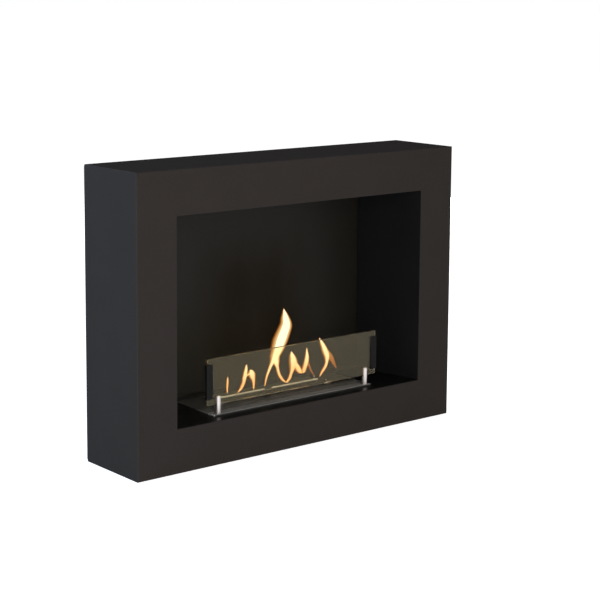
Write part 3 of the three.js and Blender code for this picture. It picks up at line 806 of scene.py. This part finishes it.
class FIREPLACE_OT_burner(bpy.types.Operator):
    """Finishes the burner plate, the tank, the lid, the guides, the posts, the stones and the pads"""

    bl_idname = "fireplace.burner"
    bl_label = "Burner"

    def execute(self, context):
        settings = context.scene.fireplace_steel
        steel = brushed("burner_steel", settings.burner, settings)
        dress(["burner_plate", "fuel_tank", "lid_guide_left", "lid_guide_right"], steel)
        dress(["snuffer_lid"], lid_with_painted_highlight("lid_steel", settings.burner, settings))
        dress(nodes_named("glass_post"), polished("post_steel", settings.polished))
        dress(nodes_named("ceramic_stone"), ceramic("stone"))
        dress(nodes_named("post_pad"), moulded("pad_silicone", linear(40, 40, 40)))
        return {"FINISHED"}


class FIREPLACE_OT_glass(bpy.types.Operator):
    """Makes the smoked pane and its ribbed edge guards"""

    bl_idname = "fireplace.glass"
    bl_label = "Glass screen"

    def execute(self, context):
        settings = context.scene.fireplace_glass
        dress(["glass_pane"], smoked_glass("smoked_glass", settings.tint, settings.sheen))
        skin = moulded("guard_skin", settings.guard)
        for end, side in (("left", -1), ("right", 1)):
            node = f"glass_guard_{end}"
            builder = self.guard(settings, *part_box(node), side)
            finished(f"edge_guard_{end}", builder, skin, "screen", node)
        return {"FINISHED"}

    def guard(self, settings, low, high, side):
        """A channel over the pane's edge, with upright grooves in both faces."""
        gap = 0.3 * MM
        groove_rim = 0.12 * MM
        rounding = 0.12 * MM
        sharp = math.radians(80)
        mid_y = (low.y + high.y) / 2
        half_slot = (glass_high.y - glass_low.y) / 2 + gap
        bottom = glass_high.x + gap if side > 0 else glass_low.x - gap
        builder = bmesh.new()
        size = high - low
        bmesh.ops.create_grid(
            builder, x_segments=1, y_segments=1, size=0.5,
            matrix=Matrix.Translation(((low.x + high.x) / 2, mid_y, low.z))
            @ Matrix.Diagonal((size.x, size.y, 1.0, 1.0)))
        cuts = [((bottom, 0, 0), (1, 0, 0))]
        cuts += [((0, mid_y + sign * half_slot, 0), (0, 1, 0)) for sign in (-1, 1)]
        strips = 2 * settings.ribs + 1
        inner, outer = (low.x, bottom) if side > 0 else (bottom, high.x)
        pitch = (outer - inner) / strips
        cuts += [((inner + pitch * n, 0, 0), (1, 0, 0)) for n in range(1, strips)]
        for place, normal in cuts:
            everything = builder.verts[:] + builder.edges[:] + builder.faces[:]
            bmesh.ops.bisect_plane(builder, geom=everything, plane_co=place, plane_no=normal)
        open_faces = [
            face for face in builder.faces
            if abs(face.calc_center_median().y - mid_y) < half_slot
            and inner < face.calc_center_median().x < outer
        ]
        bmesh.ops.delete(builder, geom=open_faces, context="FACES")
        raised = bmesh.ops.extrude_face_region(builder, geom=builder.faces[:])["geom"]
        verts = [item for item in raised if isinstance(item, bmesh.types.BMVert)]
        bmesh.ops.translate(builder, vec=(0, 0, size.z), verts=verts)
        bmesh.ops.recalc_face_normals(builder, faces=builder.faces)
        grooves = []
        for face in builder.faces:
            centre = face.calc_center_median()
            outside = min(abs(centre.y - low.y), abs(centre.y - high.y)) < SAME_PLACE
            strip = int((centre.x - inner) / pitch)
            if outside and inner < centre.x < outer and strip % 2 == 1:
                grooves.append(face)
        bmesh.ops.inset_individual(
            builder, faces=grooves, thickness=groove_rim, use_even_offset=True)
        for face in grooves:
            inward = -face.normal * settings.groove
            bmesh.ops.translate(builder, vec=inward, verts=face.verts)
        rims = [
            edge for edge in builder.edges
            if len(edge.link_faces) == 2 and edge.calc_face_angle() > sharp
            and edge.calc_length() > 0.5 * size.z
        ]
        bmesh.ops.bevel(
            builder, geom=rims, offset=rounding, affect="EDGES", segments=2, profile=0.5,
            material=-1, clamp_overlap=True)
        return builder


# Which way a fastener's head faces.
BACKWARDS = (0, 1, 0)
UPWARDS = (0, 0, 1)
DOWNWARDS = (0, 0, -1)


def dome(radius, height, steps, fullness):
    """The profile of a head's round top from its rim inwards, with its top at height 0."""
    turns = [step * math.pi / 2 / steps for step in range(steps)]
    return [
        (radius * math.cos(turn) ** fullness, -height + height * math.sin(turn))
        for turn in turns
    ]


class FIREPLACE_OT_fasteners(bpy.types.Operator):
    """Makes the screws with their sockets and threads, the nuts and the rivets"""

    bl_idname = "fireplace.fasteners"
    bl_label = "Fasteners"

    def execute(self, context):
        settings = context.scene.fireplace_fasteners
        steel = context.scene.fireplace_steel
        zinc = (plated("zinc_plate", steel.zinc), "zinc_steel")
        bright = (polished("rivet_steel", steel.polished), "bright_steel")
        groups = (
            ("rear_panel_screw", self.sunk_screw, BACKWARDS, "housing", zinc),
            ("post_screw", self.sunk_screw, DOWNWARDS, "burner", zinc),
            ("firebox_back_screw", self.pan_screw, BACKWARDS, "housing", zinc),
            ("firebox_nut", self.firebox_nut, BACKWARDS, "housing", zinc),
            ("tank_nut", self.tank_nut, UPWARDS, "burner", zinc),
            ("guide_rivet", self.rivet, UPWARDS, "burner", bright),
        )
        for start, make, direction, body, (material, slot) in groups:
            for node in nodes_named(start):
                low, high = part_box(node)
                length = abs(Vector(direction).dot(high - low))
                builder = make(settings, low, high, length)
                self.place(builder, low, high, direction)
                finished(self.full_name(node), builder, material, body, node)
        return {"FINISHED"}

    def full_name(self, node):
        name = node.replace("screw", "socket_screw").replace("nut", "hex_nut")
        return name.replace("rivet", "dome_rivet")

    def place(self, builder, low, high, direction):
        """Turns a fastener made upright, with its head's top at 0, to where its solid is."""
        middle = (low + high) / 2
        axis = Vector(direction)
        reach = max(axis.dot(low), axis.dot(high))
        top = middle + axis * (reach - axis.dot(middle))
        bmesh.ops.transform(
            builder, matrix=Matrix.Translation(top) @ facing(direction), verts=builder.verts)
        bmesh.ops.recalc_face_normals(builder, faces=builder.faces)

    def sunk_screw(self, settings, low, high, length):
        head = (high.x - low.x) / 2
        shank = 1.9 * MM
        neck = head - shank
        tip = 0.4 * MM
        plain = 0.5 * MM
        rim = 0.1 * MM
        builder = bmesh.new()
        revolve(builder, [
            (0.0, -length),
            (shank - 2 * settings.thread, -length),
            *threaded(shank, -length + tip, -neck - plain, settings.pitch, settings.thread),
            (shank, -neck),
            (head, -rim),
            (head - rim, 0.0),
            (settings.socket * SOCKET_RIM, 0.0),
        ], settings.segments)
        key_socket(builder, settings, 0.0)
        return builder

    def pan_screw(self, settings, low, high, length):
        head = (high.x - low.x) / 2
        height = 2.2 * MM
        shank = 2.0 * MM
        tip = 0.4 * MM
        plain = 0.4 * MM
        builder = bmesh.new()
        revolve(builder, [
            (0.0, -length),
            (shank - 2 * settings.thread, -length),
            *threaded(shank, -length + tip, -height - plain, settings.pitch, settings.thread),
            (shank, -height),
            *dome(head, height, 6, 0.5),
            (settings.socket * SOCKET_RIM, 0.0),
        ], settings.segments)
        key_socket(builder, settings, 0.0)
        return builder

    def firebox_nut(self, settings, low, high, height):
        bore = 2.35 * MM
        return self.nut(settings, max(high - low) / 2, height, bore)

    def tank_nut(self, settings, low, high, height):
        bore = 1.85 * MM
        return self.nut(settings, max(high - low) / 2, height, bore)

    def nut(self, settings, corner, height, bore):
        """A hexagon with chamfered ends round a threaded bore."""
        chamfer = 0.08 * corner
        builder = bmesh.new()
        loop = ring(builder, corner - chamfer, -height, 6)
        loop = extruded(builder, loop, (0, 0, chamfer), corner / (corner - chamfer))
        loop = extruded(builder, loop, (0, 0, height - 2 * chamfer))
        extruded(builder, loop, (0, 0, chamfer), (corner - chamfer) / corner)
        levels = (-height, 0.0)
        ends = [open_edges(builder, level) for level in levels]
        thread = threaded(bore + settings.thread, -height, 0.0, settings.pitch, settings.thread)
        revolve(builder, thread, settings.segments)
        for end, level in zip(ends, levels):
            hole = [
                edge for edge in open_edges(builder, level)
                if all(vert.co.xy.length < bore + 2 * settings.thread for vert in edge.verts)
            ]
            outer = [edge for edge in end if edge.is_valid]
            bmesh.ops.bridge_loops(builder, edges=outer + hole)
        return builder

    def rivet(self, settings, low, high, length):
        head = (high.x - low.x) / 2
        height = 1.1 * MM
        shank = 1.4 * MM
        builder = bmesh.new()
        revolve(builder, [
            (0.0, -length),
            (shank, -length),
            (shank, -height),
            *dome(head, height, 8, 1),
            (0.0, 0.0),
        ], settings.segments)
        return builder


# Each flame is one or more strands. A strand runs through points of place along the slot, height
# over the flames' foot and half its width there, all in millimetres. A faint strand has only the
# two outer shells.
FLAMES = {
    "flame_1": [
        ("bright", [(-125, 15, 1.4), (-126, 27, 2.7), (-126, 38, 3.2), (-126, 48, 2.2),
                    (-126, 57, 0.3)]),
    ],
    "flame_2": [
        ("bright", [(-103, 10, 2.0), (-95, 14, 3.6), (-88, 22, 5.2), (-82, 34, 5.6), (-78, 46, 6.2),
                    (-75, 56, 6.0), (-72, 66, 4.2), (-71, 76, 0.3)]),
        ("bright", [(-82, 43, 4.0), (-74, 48, 6.5), (-65, 50, 7.5), (-57, 51, 8.0), (-50, 47, 4.0)]),
        ("bright", [(-51, 10, 1.6), (-50, 23, 3.4), (-51, 34, 5.5), (-55, 44, 9.5), (-57, 52, 10.5),
                    (-59, 60, 4.0)]),
    ],
    "flame_3": [
        ("bright", [(-19, 15, 1.4), (-13, 34, 3.2), (-8, 47, 4.0), (-3, 59, 5.0), (2, 69, 7.5),
                    (8, 80, 12.0)]),
        ("bright", [(48, 14, 5.0), (40, 17, 4.6), (31, 25, 5.4), (23, 36, 5.0), (19, 46, 4.8),
                    (16, 57, 5.4), (11, 69, 12.0), (10, 80, 14.5), (18, 93, 18.0), (25, 107, 21.0),
                    (29, 120, 22.5), (34, 133, 21.5), (40, 146, 19.5), (43, 156, 16.0), (42, 167, 12.5),
                    (41, 178, 7.0), (39, 188, 1.4), (39, 192, 0.3)]),
    ],
    "flame_4": [
        ("bright", [(46, 15, 4.6), (53, 23, 5.6), (57, 33, 4.8), (61, 43, 7.5), (65, 55, 12.5),
                    (65, 65, 11.5), (63, 75, 8.5), (61, 84, 2.0), (60, 88, 0.3)]),
        ("bright", [(62, 62, 8.0), (70, 56, 10.0), (78, 45, 10.5), (86, 34, 9.5), (93, 30, 8.0),
                    (99, 38, 7.5), (104, 50, 8.0), (106, 62, 7.0), (106, 72, 5.2), (105, 81, 2.8),
                    (105, 91, 0.3)]),
        ("faint", [(108, 56, 3.0), (112, 48, 2.6), (117, 37, 2.0), (124, 26, 1.6), (131, 17, 1.0)]),
    ],
    "flame_5": [
        ("bright", [(147, 12, 1.4), (153, 21, 4.0), (161, 31, 5.4), (166, 41, 5.0), (167, 50, 6.0),
                    (167, 58, 8.5), (164, 67, 10.5), (160, 76, 9.6), (156, 85, 8.2), (152, 93, 6.4),
                    (148, 101, 3.4), (146, 108, 0.3)]),
        ("faint", [(166, 76, 4.0), (172, 66, 8.0), (178, 57, 8.0), (184, 47, 6.0), (190, 37, 3.6),
                   (197, 26, 1.0)]),
    ],
}

# The shells of a flame, from the outside in: the share of a strand's width that each one takes,
# the millimetres added to that, its light's strength, and how dense it is at its foot and its top.
SHELLS = [
    ("veil", 1.0, 0.8, 0.8, 0.24, 0.24),
    ("body", 0.9, 0.0, 1.05, 0.28, 0.32),
    ("glow", 0.75, -0.1, 1.25, 0.28, 0.38),
    ("core", 0.55, -0.1, 2.7, 0.62, 0.94),
]
FAINT_SHELLS = ("veil", "body")


def smooth_path(points, steps):
    """Points on a smooth curve through a strand's points, with this many steps between two."""
    padded = [points[0], *points, points[-1]]
    path = []
    for before, start, end, after in zip(padded, padded[1:], padded[2:], padded[3:]):
        for step in range(steps):
            share = step / steps
            path.append(tuple(
                0.5 * (2 * b + (c - a) * share + (2 * a - 5 * b + 4 * c - d) * share ** 2
                       + (3 * b - a - 3 * c + d) * share ** 3)
                for a, b, c, d in zip(before, start, end, after)
            ))
    return [*path, points[-1]]


class FIREPLACE_OT_flames(bpy.types.Operator):
    """Builds the flames over the slot"""

    bl_idname = "fireplace.flames"
    bl_label = "Flames"

    def execute(self, context):
        settings = context.scene.fireplace_flames
        for part, scale, swell, strength, foot, top in SHELLS:
            light = getattr(settings, part)
            gas = firelight(f"flame_{part}", light, settings.foot, strength, foot, top)
            for name, strands in FLAMES.items():
                builder = bmesh.new()
                for number, (kind, points) in enumerate(strands):
                    if kind == "bright" or part in FAINT_SHELLS:
                        self.strand(builder, settings, points, scale, swell, number)
                piece = finished(f"{name}_{part}", builder, gas, "burner")
                self.merge(piece, settings)
                piece.visible_glossy = False
                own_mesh(piece)
        return {"FINISHED"}

    def strand(self, builder, settings, points, scale, swell, number):
        """Draws an oval out along a strand. It swells, narrows and sways, and inner shells lean."""
        thinnest = 0.45
        least_depth = 0.8
        sway_reach = 1.6
        sway_height = 17
        sway_length = 23
        lean_share = 0.6
        path = [
            (x, height, width * scale + swell)
            for x, height, width in smooth_path(points, steps=4)
            if width * scale + swell > thinnest
        ]
        oval = bmesh.ops.create_circle(builder, cap_ends=True, radius=1.0, segments=16)
        verts = oval["verts"]
        edges = edges_of(verts)
        last = Matrix.Identity(4)
        for index, (x, height, width) in enumerate(path):
            sway = sway_reach * math.sin(height / sway_height + x / sway_length + number)
            lean = (1 - scale) * lean_share * width
            depth = settings.depth * width + least_depth
            centre = Vector(((x + lean) * MM, slot_y + sway * MM, flame_foot + height * MM))
            here = Matrix.Translation(centre) @ Matrix.Diagonal((width * MM, depth * MM, 1.0, 1.0))
            if index:
                drawn = bmesh.ops.extrude_edge_only(builder, edges=edges)["geom"]
                verts = [item for item in drawn if isinstance(item, bmesh.types.BMVert)]
                edges = [item for item in drawn if isinstance(item, bmesh.types.BMEdge)]
            bmesh.ops.transform(builder, matrix=here @ last.inverted(), verts=verts)
            last = here
        bmesh.ops.contextual_create(builder, geom=edges)
        bmesh.ops.recalc_face_normals(builder, faces=builder.faces)

    def merge(self, piece, settings):
        """Melts a flame's strands into one closed skin."""
        remesh = piece.modifiers.new("melt", "REMESH")
        remesh.mode = "VOXEL"
        remesh.voxel_size = settings.fineness
        smooth = piece.modifiers.new("soften", "SMOOTH")
        smooth.factor = 0.5
        smooth.iterations = 6
        graph = bpy.context.evaluated_depsgraph_get()
        melted = bpy.data.meshes.new_from_object(piece.evaluated_get(graph))
        piece.modifiers.clear()
        piece.data = melted
        melted.polygons.foreach_set("use_smooth", [True] * len(melted.polygons))


class FIREPLACE_PT_panel(bpy.types.Panel):
    """Lists the operators and their settings"""

    bl_idname = "FIREPLACE_PT_panel"
    bl_label = "Bioethanol Fireplace"
    bl_space_type = "VIEW_3D"
    bl_region_type = "UI"
    bl_category = "Fireplace"

    def draw(self, context):
        for operator in OPERATORS:
            self.layout.operator(operator.bl_idname)
        for name in SETTINGS:
            settings = getattr(context.scene, name)
            box = self.layout.box()
            for field in settings.bl_rna.properties:
                if not field.is_readonly and field.identifier != "name":
                    box.prop(settings, field.identifier)


OPERATORS = [
    FIREPLACE_OT_stage,
    FIREPLACE_OT_sheets,
    FIREPLACE_OT_burner,
    FIREPLACE_OT_glass,
    FIREPLACE_OT_fasteners,
    FIREPLACE_OT_flames,
]
CLASSES = [*SETTINGS.values(), *OPERATORS, FIREPLACE_PT_panel]


def register():
    for cls in CLASSES:
        bpy.utils.register_class(cls)
    for name, group in SETTINGS.items():
        setattr(bpy.types.Scene, name, PointerProperty(type=group))


def unregister():
    for name in SETTINGS:
        delattr(bpy.types.Scene, name)
    for cls in reversed(CLASSES):
        bpy.utils.unregister_class(cls)


def main():
    register()
    bpy.ops.fireplace.stage()
    bpy.ops.fireplace.sheets()
    bpy.ops.fireplace.burner()
    bpy.ops.fireplace.glass()
    bpy.ops.fireplace.fasteners()
    bpy.ops.fireplace.flames()


if __name__ == "__main__":
    main()
